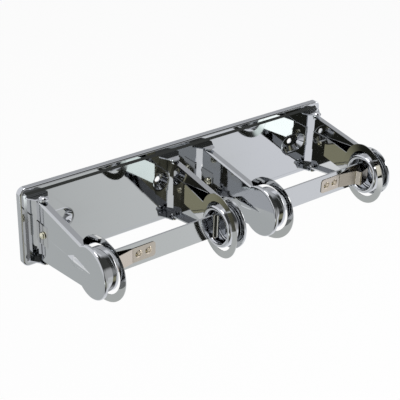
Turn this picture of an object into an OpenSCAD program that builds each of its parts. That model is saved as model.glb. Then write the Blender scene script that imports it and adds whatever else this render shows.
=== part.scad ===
// Wall-mounted double toilet roll holder in chrome-plated pressed steel. Two bays stand side by side on one
// back plate. Each bay has a fixed inner arm that carries a flat spindle bar, and an outer arm that swings
// aside on hinge pins to let a roll on. Drawn cups on the arms seat the roll's core, ring springs press on its
// ends, and a sprung latch tongue on the bar reaches into the outer cup.
//
// Millimetres. +X is to the viewer's right, +Z is up, the wall is the plane y = 0 and the arms point to -Y.
// The origin is the middle of the wall screw pattern. Depths in front of the wall are positive sizes here and
// become negative y where they are used.

/* [Back plate] */
// Width of the back plate
plate_w = 314.3; // [300:0.1:340]
// Height of the back plate
plate_h = 69.85; // [66:0.05:80]
// Thickness of the plate's sheet
plate_t = 1.0; // [0.8:0.1:1.2]
// Radius of the plate's four corners
plate_corner_r = 5.8; // [5.2:0.1:8]
// Depth from the wall to the flat border
plate_border_depth = 5.2; // [4.6:0.1:5.6]
// Depth from the wall to the raised face
plate_face_depth = 7.0; // [6.6:0.1:8]
// Width of the flat border round the face
plate_border_w = 3.4; // [3:0.1:3.6]
// Width of the bevel between border and face
plate_bevel_w = 1.8; // [1.2:0.1:2]
// Radius of the plate's outer bend
plate_edge_r = 1.4; // [1.2:0.1:2]

/* [Wall screw dishes] */
// Distance of the outer screw holes from the plate's ends
outer_screw_inset = 31.55; // [30:0.05:36]
// Distance of the inner screw holes from the middle
inner_screw_x = 25; // [24:0.5:40]
// Height of the inner screw holes above mid-height
inner_screw_z = 4.2; // [0:0.1:4.4]
// Radius of the screw holes
screw_hole_r = 2.6; // [2:0.1:3.2]
// Distance between the round ends' centres of an outer dish, which is longer than high
outer_dish_stretch = 10.4; // [6:0.1:12]
// Half the height of an outer dish where it meets its lip
outer_dish_mouth_r = 8.4; // [7.4:0.1:9]
// Radius of a round inner dish where it meets its lip
inner_dish_mouth_r = 7.4; // [6.8:0.1:8.4]
// Radius of a dish's flat floor
dish_floor_r = 5.2; // [4.6:0.1:5.8]
// Width of the soft lip round a dish
dish_lip_w = 1.6; // [0.8:0.1:2]
// Depth of the soft lip round a dish
dish_lip_depth = 0.5; // [0.3:0.1:0.7]

/* [Hinge ears] */
// Thickness of an ear
ear_t = 1.0; // [0.8:0.1:1.2]
// Reach of an ear's root beyond its arm's outer side
ear_outboard = 6.7; // [5:0.1:7]
// Reach of an ear's root past its arm's outer side towards the roll
ear_inboard = 12.8; // [9.5:0.1:14]
// Radius of an ear's tip round its pin
ear_tip_r = 4.6; // [4:0.1:5.2]
// Running gap between an ear and its arm
ear_gap = 0.4; // [0.3:0.05:0.6]
// Reach of an ear's tab beyond its arm's outer side
ear_tab_outboard = 4.6; // [3.5:0.1:5]
// Reach of an ear's tab past its arm's outer side towards the roll
ear_tab_inboard = 11.4; // [9:0.1:12]
// Height of the foot that holds an ear behind the plate's face
ear_foot_h = 9; // [6:0.5:10]
// Clearance round a tab in its slot through the face
ear_slot_gap = 0.1; // [0.05:0.05:0.2]

/* [Arms] */
// Distance from the plate's end to an outer arm's outer side
arm_end_inset = 10.35; // [9.5:0.05:12]
// Distance from the middle to an inner arm's outer side
arm_inner_x = 14.6; // [12:0.1:18]
// Thickness of an arm's sheet
arm_t = 1.2; // [1:0.1:1.4]
// Depth from the wall to an arm's rear edge
arm_rear_y = 12.3; // [12:0.1:13]
// Distance from the plate's long edges to an arm's rear corners
arm_rear_inset = 7.725; // [7.5:0.025:9]
// Depth from the wall to where the straight edges run into the disc
arm_neck_y = 82; // [80:0.5:84]
// Half the height of an arm where its straight edges end
arm_neck_half_h = 17.0; // [15:0.1:18]
// Depth from the wall to the centre of the disc end
disc_y = 87.5; // [86:0.1:90]
// Width of the disc end round the cup
disc_rim_w = 3.9; // [3:0.1:4.4]
// Width of the flanges along an arm
flange_w = 6.0; // [5:0.1:6.4]
// Width of the flange round the disc
disc_flange_w = 3.0; // [2.4:0.1:4]
// Depth from the wall to where the flange starts to narrow
flange_step_y = 70; // [66:0.5:74]
// Length over which the flange narrows
flange_step_len = 6; // [3:0.5:10]
// Outer radius of the bend between side and flange
arm_edge_r = 1.6; // [1.4:0.1:2]

/* [Arm embossments] */
// Depth from the wall to the sharp tip of the embossment
emboss_tip_y = 92; // [88:0.5:96]
// Depth from the wall to the widest and highest place
emboss_wide_y = 67; // [62:0.5:72]
// Depth from the wall to the rear end of the embossment
emboss_end_y = 56; // [50:0.5:58]
// Height of the embossment over the arm's side
emboss_h = 1.6; // [0.8:0.1:1.8]
// Depth of the forming cone's axis under the side at the widest place
emboss_axis_depth = 6.4; // [4:0.1:8]
// Depth of the forming cones' points under the side
emboss_point_depth = 0.1; // [0.05:0.05:0.3]

/* [Hinge pins] */
// Distance of the hinge axis from an arm's outer side
hinge_inset = 3.9; // [3.7:0.1:4.2]
// Depth from the wall to the hinge axis
hinge_y = 15.8; // [15.6:0.1:16.4]
// Radius of a hinge pin's shank
hinge_r = 1.5; // [1.2:0.1:1.6]
// Radius of a hinge pin's domed head
hinge_head_r = 3.4; // [2.8:0.1:4]
// Height of a hinge pin's domed head
hinge_head_h = 1.5; // [1:0.1:2]
// Radius of a hinge pin's clinched inner end
hinge_clinch_r = 2.2; // [2:0.1:2.8]
// Height of a hinge pin's clinched inner end
hinge_clinch_h = 1.0; // [0.5:0.1:1.4]
// Gap between a flange and the clinched end inside it
hinge_clinch_gap = 0.4; // [0.3:0.05:0.6]
// Radial clearance of a pin or rivet in its holes
pin_clearance = 0.05; // [0.03:0.01:0.08]

/* [Brake springs] */
// Thickness of the spring strip
spring_t = 0.6; // [0.4:0.1:0.7]
// Height of the clip round an arm's rear edge
clip_h = 18; // [14:0.5:20]
// Length of the clip's tab on the arm's outer side
clip_tab_len = 15; // [12:0.5:18]
// Length of the clip along the arm's inner side
clip_inner_len = 16; // [13:0.5:18]
// Radius of the corners of the clip's tab
clip_corner_r = 1.5; // [0.5:0.1:3]
// Height of the strap that carries the ring
strap_h = 19; // [16:0.5:21]
// Gap between the cup and the hole in the brake ring
ring_cup_gap = 2.8; // [2:0.1:3.4]
// Width of the brake ring's band
ring_band_w = 6.2; // [5:0.1:6.6]
// Distance of the ring's centre from the arm's outer side
ring_inset = 11.6; // [11:0.1:12]
// Angle by which the ring's front leans to the roll
ring_tilt = 6.9; // [6:0.1:8]
// Length of strap that laps onto the ring
strap_lap = 2.5; // [1.5:0.1:4]
// Gap at the strap's bend line and over the arm's inner side
flex_gap = 0.3; // [0.2:0.05:0.5]

/* [Brake rivets] */
// Distance of the brake rivet behind the arm's rear edge, towards the disc
brake_rivet_set = 9.2; // [8:0.1:11]
// Radius of a brake rivet's shank
brake_rivet_r = 1.6; // [1.2:0.1:2]
// Radius of a brake rivet's domed head
brake_rivet_head_r = 3.1; // [2.4:0.1:3.6]
// Height of a brake rivet's domed head
brake_rivet_head_h = 1.2; // [0.8:0.1:1.6]
// Radius of a brake rivet's clinched end
brake_rivet_tail_r = 2.4; // [2.1:0.1:3]
// Height of a brake rivet's clinched end
brake_rivet_tail_h = 0.8; // [0.5:0.1:1]

/* [Hub cups] */
// Outer radius of a cup
cup_r = 17.5; // [16.5:0.1:18.2]
// Length of a cup from the arm's inner side to its rim
cup_len = 14; // [12:0.5:16]
// Thickness of a cup's wall
cup_wall = 1.0; // [0.8:0.1:1.4]
// Thickness of a cup's floor
cup_floor_t = 1.0; // [0.8:0.1:1.4]
// Radius of the draw between wall and floor
cup_draw_r = 3.0; // [2:0.1:4]
// Outer radius of the rim, which is turned inwards
cup_rim_r = 2.0; // [1.6:0.1:2.4]
// Length of the turned rim's edge inside the cup
cup_lip_len = 1.5; // [0.5:0.1:2.5]

/* [Spindle bars] */
// Height of a spindle bar
bar_h = 20; // [16:0.5:22]
// Thickness of a spindle bar
bar_t = 1.6; // [1.2:0.1:2]
// Depth from the wall to a bar's front side
bar_y = 85.5; // [84:0.1:87]
// Radius at mid-thickness of a bar's bends
bar_bend_r = 2.4; // [2:0.1:3]
// Distance by which a bar steps forward at the inner cup's mouth
bar_step = 2.5; // [1.5:0.1:3]
// Angle of the step
bar_step_angle = 40; // [30:1:50]
// Length of the stepped end of a bar
bar_step_len = 8.5; // [8:0.5:11]
// Reach of a bar's foot behind the stepped end's front side
foot_reach = 12; // [11:0.1:13]
// Height of a bar's foot
foot_h = 14; // [10:0.5:16]
// Gap between a bar's end and the outer cup's floor
bar_end_gap = 6.5; // [4:0.5:8]
// Radius of the corners at a bar's free end
bar_corner_r = 2.5; // [1:0.1:4]
// Distance of the foot's rivet from the foot's end
foot_rivet_set = 4.2; // [3.6:0.1:5]
// Radius of the foot rivet's shank
foot_rivet_r = 1.5; // [1.2:0.1:2]
// Radius of the foot rivet's domed head
foot_rivet_head_r = 2.8; // [2.2:0.1:3.2]
// Height of the foot rivet's domed head
foot_rivet_head_h = 1.0; // [0.8:0.1:1.4]

/* [Latches] */
// Thickness of the latch's spring strip
latch_t = 0.5; // [0.4:0.1:0.6]
// Height of the latch strip
latch_h = 12.6; // [10:0.1:14]
// Distance from the outer arm's outer side to the latch's bend
latch_bend_inset = 38.95; // [34:0.05:46]
// Length of the riveted part
latch_base_len = 20.7; // [20:0.1:24]
// Radius of the corners of the riveted end
latch_corner_r = 2.5; // [1:0.1:4]
// Angle at which the tongue leaves the bar
latch_angle = 11; // [9:0.5:12]
// Length of the tongue's slope up to the hook
latch_tongue_len = 16; // [14:0.5:18]
// Radius at mid-thickness of the hook's bends
hook_r = 1.3; // [1:0.1:1.6]
// Angle through which the hook turns forward
hook_turn = 60; // [45:1:70]
// Angle through which the hook's nose turns back
hook_return_turn = 88; // [75:1:92]
// Length of the hook's straight front leg
hook_leg_len = 3.2; // [2:0.1:3.6]
// Length of the end that reaches into the outer cup
hook_end_len = 10; // [7:0.5:11]
// Distance of the first latch rivet from the riveted end
latch_rivet_set = 6.2; // [5:0.1:7]
// Distance between the two latch rivets
latch_rivet_pitch = 9.0; // [8:0.1:10]
// Radius of a latch rivet's shank
latch_rivet_r = 1.5; // [1:0.1:2]
// Radius of a latch rivet's head
latch_rivet_head_r = 3.2; // [2.4:0.1:3.6]
// Height of a latch rivet's head
latch_rivet_head_h = 1.0; // [0.6:0.1:1.4]
// Radius of the dimple in a latch rivet's head
latch_rivet_dimple_r = 1.5; // [0.8:0.1:1.8]

/* [Hidden] */

// Facets of a full circle
$fn = 64;
// Steps in a strip's bend
arc_steps = 10;
// One overrun serves every cut
overrun = 0.5;
// Half sizes and places that follow from the sizes above
plate_half_w = plate_w / 2;
plate_half_h = plate_h / 2;
face_back_y = plate_face_depth - plate_t;
outer_screw_x = plate_half_w - outer_screw_inset;
arm_outer_x = plate_half_w - arm_end_inset;
arm_rear_half_h = plate_half_h - arm_rear_inset;
ear_z = arm_rear_half_h + ear_gap;
disc_r = cup_r + disc_rim_w;
ring_hole_r = cup_r + ring_cup_gap;
ring_r = ring_hole_r + ring_band_w;
hinge_hole_r = hinge_r + pin_clearance;
strip_inner_u = arm_t + spring_t;
clip_end_y = arm_rear_y + clip_inner_len;
brake_rivet_y = arm_rear_y + brake_rivet_set;
strap_hinge_u = arm_t + flex_gap + spring_t / 2;
strap_hinge_y = clip_end_y + flex_gap + spring_t / 2;
cup_rim_u = arm_t + cup_len;
cup_floor_u = arm_t + cup_floor_t;
bay_u = arm_outer_x - arm_inner_x;
bar_end_u = bay_u - cup_floor_u - bar_end_gap;
bar_back_y = bar_y - bar_t;
bar_root_y = bar_y + bar_step;
foot_rivet_y = bar_root_y - foot_reach + foot_rivet_set;
latch_hinge_u = bay_u - latch_bend_inset;
latch_start = latch_hinge_u - latch_t / 2 - flex_gap - latch_base_len;
latch_hinge_y = bar_y + flex_gap + latch_t / 2;
rivet_dimple_share = 0.6;
dome_height_share = 0.97;
// Slope of an arm's straight edge and what a unit inset across it takes off its height
arm_slope = atan((arm_rear_half_h - arm_neck_half_h) / (arm_neck_y - arm_rear_y));
arm_inset_factor = 1 / cos(arm_slope);
// Height of a flange's inner side where the hinge hole comes nearest to mid-height
flange_drop = (hinge_y + hinge_hole_r - arm_rear_y) * tan(arm_slope);
flange_inner_z = arm_rear_half_h - flange_drop - arm_t * arm_inset_factor;

// The four arm stations, from left to right: x of the arm's outer side and the direction to its roll
LEFT_OUTER = 0;
LEFT_INNER = 1;
RIGHT_INNER = 2;
RIGHT_OUTER = 3;
ARM_X = [-arm_outer_x, -arm_inner_x, arm_inner_x, arm_outer_x];
ARM_TOWARDS_ROLL = [1, -1, 1, -1];

// Puts a piece drawn at an arm's own place at one of the four stations. There x is 0 on the arm's outer side
// and grows towards the roll, and y and z are the whole object's.
module at_station(k) {
    translate([ARM_X[k], 0, 0])
        mirror([ARM_TOWARDS_ROLL[k] > 0 ? 0 : 1, 0, 0])
            children();
}

// Extrudes a drawing of the (y, z) plane along +X
module along_x(from, depth) {
    translate([from, 0, 0])
        rotate([90, 0, 90])
            linear_extrude(depth)
                children();
}

// Extrudes a drawing of the (x, z) plane forward from a depth in front of the wall
module forward(from, depth) {
    translate([0, -from, 0])
        rotate([90, 0, 0])
            linear_extrude(depth)
                children();
}

// Extrudes a drawing of the (x, y) plane evenly about mid-height
module about_mid_height(height) {
    translate([0, 0, -height / 2])
        linear_extrude(height)
            children();
}

// Turns a profile of (radius, height) about the line that runs forward from a point of the wall
module turned_forward(x, z, from) {
    translate([x, -from, z])
        rotate([90, 0, 0])
            rotate_extrude()
                children();
}

// Repeats a piece above and below mid-height
module above_and_below() {
    children();
    mirror([0, 0, 1])
        children();
}

// A rectangle with round corners, centred
module round_rectangle(w, h, r) {
    square([w - 2 * r, h], center = true);
    square([w, h - 2 * r], center = true);
    for (x = [-1, 1], z = [-1, 1])
        translate([x * (w / 2 - r), z * (h / 2 - r)])
            circle(r);
}

// A block from the wall plane forward whose front edge is rounded all the way round
module round_edged_block(w, h, r, depth, edge) {
    forward(0, depth - edge)
        round_rectangle(w, h, r);
    forward(0, depth)
        round_rectangle(w - 2 * edge, h - 2 * edge, r - edge);
    above_and_below()
        translate([-w / 2 + r, edge - depth, h / 2 - edge])
            rotate([0, 90, 0])
                cylinder(h = w - 2 * r, r = edge);
    for (side = [-1, 1])
        translate([side * (w / 2 - edge), edge - depth, 0])
            cylinder(h = h - 2 * r, r = edge, center = true);
    for (x = [-1, 1], z = [-1, 1])
        turned_forward(x * (w / 2 - r), z * (h / 2 - r), depth - edge)
            translate([r - edge, 0])
                circle(edge);
}

// The closed outer form of the plate, or of the hollow behind it when inset by the sheet
module plate_form(sheet) {
    round_edged_block(
        plate_w - 2 * sheet, plate_h - 2 * sheet, plate_corner_r - sheet,
        plate_border_depth - sheet, plate_edge_r - sheet
    );
    panel_block(sheet);
}

// The raised panel: straight prisms with bevelled sides both ways and a cone at each corner
module panel_block(sheet) {
    w = plate_w - 2 * plate_border_w;
    h = plate_h - 2 * plate_border_w;
    r = plate_corner_r - plate_border_w;
    base = plate_border_depth - sheet;
    top = plate_face_depth - sheet;
    root = base - plate_t / 2;
    along_x(r - w / 2, w - 2 * r)
        polygon([for (p = panel_section(h / 2, root, base, top)) [-p[0], p[1]]]);
    about_mid_height(h - 2 * r)
        polygon([for (p = panel_section(w / 2, root, base, top)) [p[1], -p[0]]]);
    for (x = [-1, 1], z = [-1, 1])
        translate([x * (w / 2 - r), -root, z * (h / 2 - r)])
            rotate([90, 0, 0]) {
                cylinder(h = base - root, r = r);
                translate([0, 0, base - root])
                    cylinder(h = top - base, r1 = r, r2 = r - plate_bevel_w);
            }
}

// Section of the raised panel as points of depth and distance from its middle
function panel_section(half, root, base, top) = [
    [root, half], [base, half], [top, half - plate_bevel_w],
    [top, plate_bevel_w - half], [base, -half], [root, -half]
];

// Half section of a dish as distance from its middle and depth: its metal behind the face, and its space
function dish_metal_section(mouth) = [
    [0, 0], [dish_floor_r + plate_t, 0],
    [mouth + plate_t, face_back_y], [mouth + plate_t, face_back_y + plate_t / 2],
    [0, face_back_y + plate_t / 2]
];
function dish_space_section(mouth) = [
    [0, plate_t], [dish_floor_r, plate_t], [mouth, plate_face_depth - dish_lip_depth],
    [mouth + dish_lip_w, plate_face_depth], [mouth + dish_lip_w, plate_face_depth + overrun],
    [0, plate_face_depth + overrun]
];

// A dish's section turned round both ends and run straight between them
module dish_form(x, z, stretch, section) {
    for (side = stretch > 0 ? [-1, 1] : [0])
        turned_forward(x + side * stretch / 2, z, 0)
            polygon(section);
    if (stretch > 0)
        translate([0, 0, z])
            along_x(x - stretch / 2, stretch)
                polygon([
                    for (p = section) if (p[0] > 0) [-p[1], p[0]],
                    for (i = [len(section) - 1 : -1 : 0]) let (p = section[i]) if (p[0] > 0) [-p[1], -p[0]]
                ]);
}

module outer_dish(side, space) {
    dish_form(
        side * outer_screw_x, 0, outer_dish_stretch,
        space ? dish_space_section(outer_dish_mouth_r) : dish_metal_section(outer_dish_mouth_r)
    );
}

module inner_dish(side, space) {
    dish_form(
        side * inner_screw_x, inner_screw_z, 0,
        space ? dish_space_section(inner_dish_mouth_r) : dish_metal_section(inner_dish_mouth_r)
    );
}

module all_dishes(space) {
    for (side = [-1, 1]) {
        outer_dish(side, space);
        inner_dish(side, space);
    }
}

// The hole for a wall screw through a dish's floor
module screw_hole(x, z) {
    turned_forward(x, z, 0)
        translate([0, -overrun])
            square([screw_hole_r, plate_t + 2 * overrun]);
}

// Plan of an ear: shoulders on the face that narrow to a round tip about the hinge axis, and a tab through it
module ear_plan() {
    tip = [hinge_inset, -hinge_y];
    difference() {
        union() {
            translate([-ear_tab_outboard, -plate_face_depth - ear_t])
                square([ear_tab_outboard + ear_tab_inboard, plate_t + ear_t]);
            polygon([
                [-ear_outboard, -plate_face_depth], [ear_inboard, -plate_face_depth],
                [ear_inboard, -plate_face_depth - ear_t],
                tip + [ear_tip_r, 0], tip - [ear_tip_r, 0],
                [-ear_outboard, -plate_face_depth - ear_t]
            ]);
            translate(tip)
                circle(ear_tip_r);
        }
        translate(tip)
            circle(hinge_hole_r);
    }
}

// An ear whose tab passes the face and turns down into a foot that is welded behind it
module ear() {
    tab_w = ear_tab_outboard + ear_tab_inboard;
    translate([0, 0, ear_z])
        linear_extrude(ear_t)
            ear_plan();
    along_x(-ear_tab_outboard, tab_w) {
        translate([-face_back_y, ear_z + ear_t - ear_foot_h])
            square([ear_t, ear_foot_h - ear_t]);
        intersection() {
            translate([-face_back_y, ear_z])
                circle(ear_t);
            translate([-face_back_y, ear_z])
                square([ear_t, ear_t]);
        }
    }
}

// The slot through the face for an ear's tab
module ear_slot() {
    forward(face_back_y - overrun, plate_t + 2 * overrun)
        translate([-ear_tab_outboard - ear_slot_gap, ear_z - ear_slot_gap])
            square([ear_tab_outboard + ear_tab_inboard + 2 * ear_slot_gap, ear_t + 2 * ear_slot_gap]);
}

module back_plate() {
    color("silver")
        difference() {
            union() {
                difference() {
                    plate_form(0);
                    plate_form(plate_t);
                    translate([-plate_half_w, 0, -plate_half_h])
                        cube([plate_w, overrun, plate_h]);
                }
                all_dishes(false);
            }
            all_dishes(true);
            for (side = [-1, 1]) {
                screw_hole(side * outer_screw_x, 0);
                screw_hole(side * inner_screw_x, inner_screw_z);
            }
            for (k = [LEFT_OUTER : RIGHT_OUTER])
                at_station(k)
                    above_and_below()
                        ear_slot();
        }
}

// Outline of an arm in the (y, z) plane: a taper that runs into a disc. The inset moves every edge but the
// rear inwards, and the rear is moved back by its own amount.
module arm_outline(inset, rear) {
    drop = inset * arm_inset_factor;
    rear_half_h = arm_rear_half_h + rear * tan(arm_slope) - drop;
    neck_half_h = arm_neck_half_h - drop;
    polygon([
        [rear - arm_rear_y, rear_half_h], [-arm_neck_y, neck_half_h],
        [-arm_neck_y, -neck_half_h], [rear - arm_rear_y, -rear_half_h]
    ]);
    translate([-disc_y, 0])
        circle(disc_r - inset);
}

// The rounded bend along the arm's two straight edges and round its disc
module arm_bend() {
    drop = arm_edge_r * arm_inset_factor;
    rear_half_h = arm_rear_half_h + arm_edge_r * tan(arm_slope) - drop;
    run = (arm_neck_y - arm_rear_y + arm_edge_r) * arm_inset_factor;
    above_and_below()
        translate([arm_edge_r, arm_edge_r - arm_rear_y, rear_half_h])
            rotate([90 + arm_slope, 0, 0])
                cylinder(h = run, r = arm_edge_r);
    translate([arm_edge_r, -disc_y, 0])
        rotate([0, 90, 0])
            rotate_extrude()
                translate([disc_r - arm_edge_r, 0])
                    circle(arm_edge_r);
}

// The long diamond pressed outward from an arm's side: what two opposed cones share, each with its point on
// the side and its axis sunk under it
module emboss_form(shift, to) {
    reach = emboss_tip_y - emboss_end_y;
    intersection() {
        translate([shift, 0, 0])
            emboss_cone(emboss_tip_y, 90);
        translate([shift, 0, 0])
            emboss_cone(emboss_end_y, -90);
        translate([-emboss_h - overrun, -emboss_tip_y, -reach])
            cube([emboss_h + overrun + to, reach, 2 * reach]);
    }
}

module emboss_cone(point_y, turn) {
    run = abs(point_y - emboss_wide_y);
    axis_angle = atan((emboss_axis_depth - emboss_point_depth) / run);
    spread = axis_angle + atan((emboss_h + emboss_point_depth) / run);
    length = 2 * (emboss_tip_y - emboss_end_y);
    translate([emboss_point_depth, -point_y, 0])
        rotate([-turn, 0, 0])
            rotate([0, axis_angle, 0])
                cylinder(h = length, r1 = 0, r2 = length * tan(spread));
}

module arm() {
    flange_cut_len = disc_y + disc_r;
    difference() {
        union() {
            along_x(arm_edge_r, flange_w - arm_edge_r)
                arm_outline(0, arm_edge_r);
            along_x(0, flange_w)
                arm_outline(arm_edge_r, arm_edge_r);
            arm_bend();
            emboss_form(0, arm_t / 2);
        }
        along_x(arm_t, flange_w)
            arm_outline(arm_t, arm_rear_y);
        emboss_form(arm_t, arm_t + overrun);
        translate([-overrun, -arm_rear_y, -plate_half_h])
            cube([flange_w + 2 * overrun, arm_rear_y, plate_h]);
        about_mid_height(plate_h)
            polygon([
                [flange_w, -flange_step_y], [flange_w + overrun, -flange_step_y],
                [flange_w + overrun, -flange_cut_len - overrun], [disc_flange_w, -flange_cut_len - overrun],
                [disc_flange_w, -flange_step_y - flange_step_len]
            ]);
        translate([hinge_inset, -hinge_y, 0])
            cylinder(h = plate_h, r = hinge_hole_r, center = true);
        translate([-overrun, -brake_rivet_y, 0])
            rotate([0, 90, 0])
                cylinder(h = arm_t + 2 * overrun, r = brake_rivet_r + pin_clearance);
    }
}

// A domed rivet head standing on the plane z = 0: a slice of a ball that meets the plane at the given radius, with
// a small flat at its top
module dome(r, h) {
    full_h = h / dome_height_share;
    ball_r = (r * r + full_h * full_h) / (2 * full_h);
    intersection() {
        translate([0, 0, full_h - ball_r])
            sphere(ball_r);
        cylinder(h = h, r = r);
    }
}

// Two short pins, above and below, each through an ear and a flange. A swinging arm's pins have domed heads,
// and those of a fixed arm are set flush.
module hinge_pins(headed) {
    reach = ear_z + ear_t;
    root = flange_inner_z - hinge_clinch_gap - hinge_clinch_h;
    above_and_below()
        translate([hinge_inset, -hinge_y, root]) {
            cylinder(h = reach - root, r = hinge_r);
            cylinder(h = hinge_clinch_h, r = hinge_clinch_r);
            if (headed)
                translate([0, 0, reach - root])
                    dome(hinge_head_r, hinge_head_h);
        }
}

// The riveted end of the brake spring: it lies on the arm's inner side, folds round the rear edge and ends
// as a tab on the outer side
module brake_clip() {
    difference() {
        intersection() {
            about_mid_height(clip_h)
                clip_plan();
            along_x(-spring_t, arm_t + 2 * spring_t)
                translate([spring_t - arm_rear_y - clip_inner_len, 0])
                    clip_side_view();
        }
        translate([-spring_t - overrun, -brake_rivet_y, 0])
            rotate([0, 90, 0])
                cylinder(h = arm_t + 2 * spring_t + 2 * overrun, r = brake_rivet_r + pin_clearance);
    }
}

// Plan of the clip: a strip folded flat round the sheet's edge
module clip_plan() {
    back = spring_t - arm_rear_y;
    difference() {
        union() {
            translate([0, -clip_end_y])
                square([strip_inner_u, clip_end_y - arm_rear_y]);
            translate([-spring_t, back - spring_t - clip_tab_len])
                square([arm_t + spring_t, clip_tab_len]);
            translate([0, -arm_rear_y])
                square([arm_t, spring_t]);
            for (u = [0, arm_t])
                translate([u, -arm_rear_y])
                    circle(spring_t);
        }
        translate([0, -clip_end_y - overrun])
            square([arm_t, clip_end_y + overrun - arm_rear_y]);
    }
}

// Side view of the clip, with round corners at the tab's front end
module clip_side_view() {
    length = clip_inner_len + spring_t;
    translate([length / 2 - spring_t, 0])
        square([length, clip_h], center = true);
}

// The flexing end of the brake spring: a strap that leaves the arm and carries the ring. The ring leans to
// the roll about its centre.
module brake_ring() {
    ring_back = ring_r - strap_lap;
    joint = [ring_inset - ring_back * sin(ring_tilt), ring_back * cos(ring_tilt) - disc_y];
    root = [strap_hinge_u, -strap_hinge_y];
    strap = joint - root;
    strap_len = norm(strap);
    strap_angle = atan2(strap[0], -strap[1]);
    translate([ring_inset, -disc_y, 0])
        rotate([0, 0, ring_tilt])
            along_x(-spring_t / 2, spring_t)
                difference() {
                    circle(ring_r);
                    circle(ring_hole_r);
                }
    translate(root)
        rotate([0, 0, strap_angle])
            translate([-spring_t / 2, -strap_len, -strap_h / 2])
                cube([spring_t, strap_len, strap_h]);
    for (end = [root, joint])
        translate(end)
            cylinder(h = strap_h, r = spring_t / 2, center = true);
}

// The rivet through the clip's tab, the arm and the clip's inner side
module brake_rivet() {
    translate([-spring_t, -brake_rivet_y, 0])
        rotate([0, 90, 0])
            difference() {
                union() {
                    cylinder(h = arm_t + 2 * spring_t, r = brake_rivet_r);
                    translate([0, 0, arm_t + 2 * spring_t])
                        cylinder(h = brake_rivet_tail_h, r = brake_rivet_tail_r);
                    mirror([0, 0, 1])
                        dome(brake_rivet_head_r, brake_rivet_head_h);
                }
                translate([0, 0, arm_t + 2 * spring_t])
                    cylinder(h = brake_rivet_tail_h + overrun, r = brake_rivet_r * rivet_dimple_share);
            }
}

// A drawn cup: a flat floor, a rounded draw, a straight wall and a rim turned inwards. The floor of an inner
// cup has a hole for the rivet of the bar's foot.
module cup(holds_bar) {
    difference() {
        translate([0, -disc_y, 0])
            rotate([0, 90, 0])
                rotate_extrude()
                    cup_section();
        if (holds_bar)
            translate([0, -foot_rivet_y, 0])
                rotate([0, 90, 0])
                    cylinder(h = cup_floor_u + overrun, r = foot_rivet_r + pin_clearance);
    }
}

// Half section of a cup as radius and distance from the arm's outer side
module cup_section() {
    draw_u = arm_t + cup_draw_r;
    turn_u = cup_rim_u - cup_rim_r;
    translate([0, arm_t])
        square([cup_r - cup_draw_r, cup_floor_t]);
    translate([cup_r - cup_wall, draw_u])
        square([cup_wall, turn_u - draw_u]);
    translate([cup_r - 2 * cup_rim_r, turn_u - cup_lip_len])
        square([cup_wall, cup_lip_len]);
    intersection() {
        translate([cup_r - cup_draw_r, draw_u])
            difference() {
                circle(cup_draw_r);
                circle(cup_draw_r - cup_wall);
            }
        translate([cup_r - cup_draw_r, arm_t])
            square([cup_draw_r, cup_draw_r]);
    }
    intersection() {
        translate([cup_r - cup_rim_r, turn_u])
            difference() {
                circle(cup_rim_r);
                circle(cup_rim_r - cup_wall);
            }
        translate([cup_r - 2 * cup_rim_r, turn_u])
            square([2 * cup_rim_r, cup_rim_r]);
    }
}

// One side of a bent strip as points. A leg is [run, turn, bend radius at mid-thickness], turns to the left
// are positive, and the side is a distance to the left of the strip's middle.
function strip_side(legs, side, at, heading, i = 0) = i == len(legs) ? [] : let (
    run = legs[i][0], turn = legs[i][1], r = legs[i][2],
    hand = turn < 0 ? -1 : 1,
    corner = at + run * [cos(heading), sin(heading)],
    centre = corner + hand * r * [-sin(heading), cos(heading)],
    from = heading - hand * 90
) concat(
    turn == 0
        ? [corner + side * [-sin(heading), cos(heading)]]
        : arc_points(centre, r - hand * side, from, from + turn),
    strip_side(legs, side, centre + r * [cos(from + turn), sin(from + turn)], heading + turn, i + 1)
);

// Points along an arc
function arc_points(centre, r, from, to) = [
    for (i = [0 : arc_steps]) let (a = from + (to - from) * i / arc_steps) centre + r * [cos(a), sin(a)]
];

// Plan of a bent strip: both of its sides, the second one backwards
module strip_plan(legs, thickness, at, heading) {
    across = thickness / 2 * [-sin(heading), cos(heading)];
    one = concat([at + across], strip_side(legs, thickness / 2, at, heading));
    other = concat([at - across], strip_side(legs, -thickness / 2, at, heading));
    polygon(concat(one, [for (i = [len(other) - 1 : -1 : 0]) other[i]]));
}

// A flat bar that stands on edge. At its inner end it steps forward, and a foot is bent back against the inner
// cup's floor.
module spindle_bar() {
    half_t = bar_t / 2;
    foot_start = [cup_floor_u + half_t, foot_reach - bar_root_y];
    step_rise = 2 * bar_bend_r * (1 - cos(bar_step_angle));
    step_run = (bar_step - step_rise) / sin(bar_step_angle);
    slope_run = 2 * bar_bend_r * sin(bar_step_angle) + step_run * cos(bar_step_angle);
    slope_end_u = cup_floor_u + half_t + bar_step_len + slope_run;
    legs = [
        [foot_reach - half_t - bar_bend_r, 90, bar_bend_r],
        [bar_step_len - bar_bend_r, bar_step_angle, bar_bend_r],
        [step_run, -bar_step_angle, bar_bend_r],
        [bar_end_u - bar_corner_r - slope_end_u, 0, 0]
    ];
    difference() {
        union() {
            about_mid_height(bar_h)
                strip_plan(legs, bar_t, foot_start, -90);
            forward(bar_back_y, bar_t)
                translate([bar_end_u - bar_h / 2, 0])
                    round_rectangle(bar_h, bar_h, bar_corner_r);
        }
        above_and_below()
            translate([arm_t, bar_bend_r + half_t - bar_root_y, foot_h / 2])
                cube([cup_floor_t + bar_t + overrun, foot_reach, bar_h]);
        at_latch_rivets(bar_back_y - overrun)
            cylinder(h = bar_t + 2 * overrun, r = latch_rivet_r + pin_clearance);
        translate([arm_t, -foot_rivet_y, 0])
            rotate([0, 90, 0])
                cylinder(h = cup_floor_t + bar_t + overrun, r = foot_rivet_r + pin_clearance);
    }
}

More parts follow.
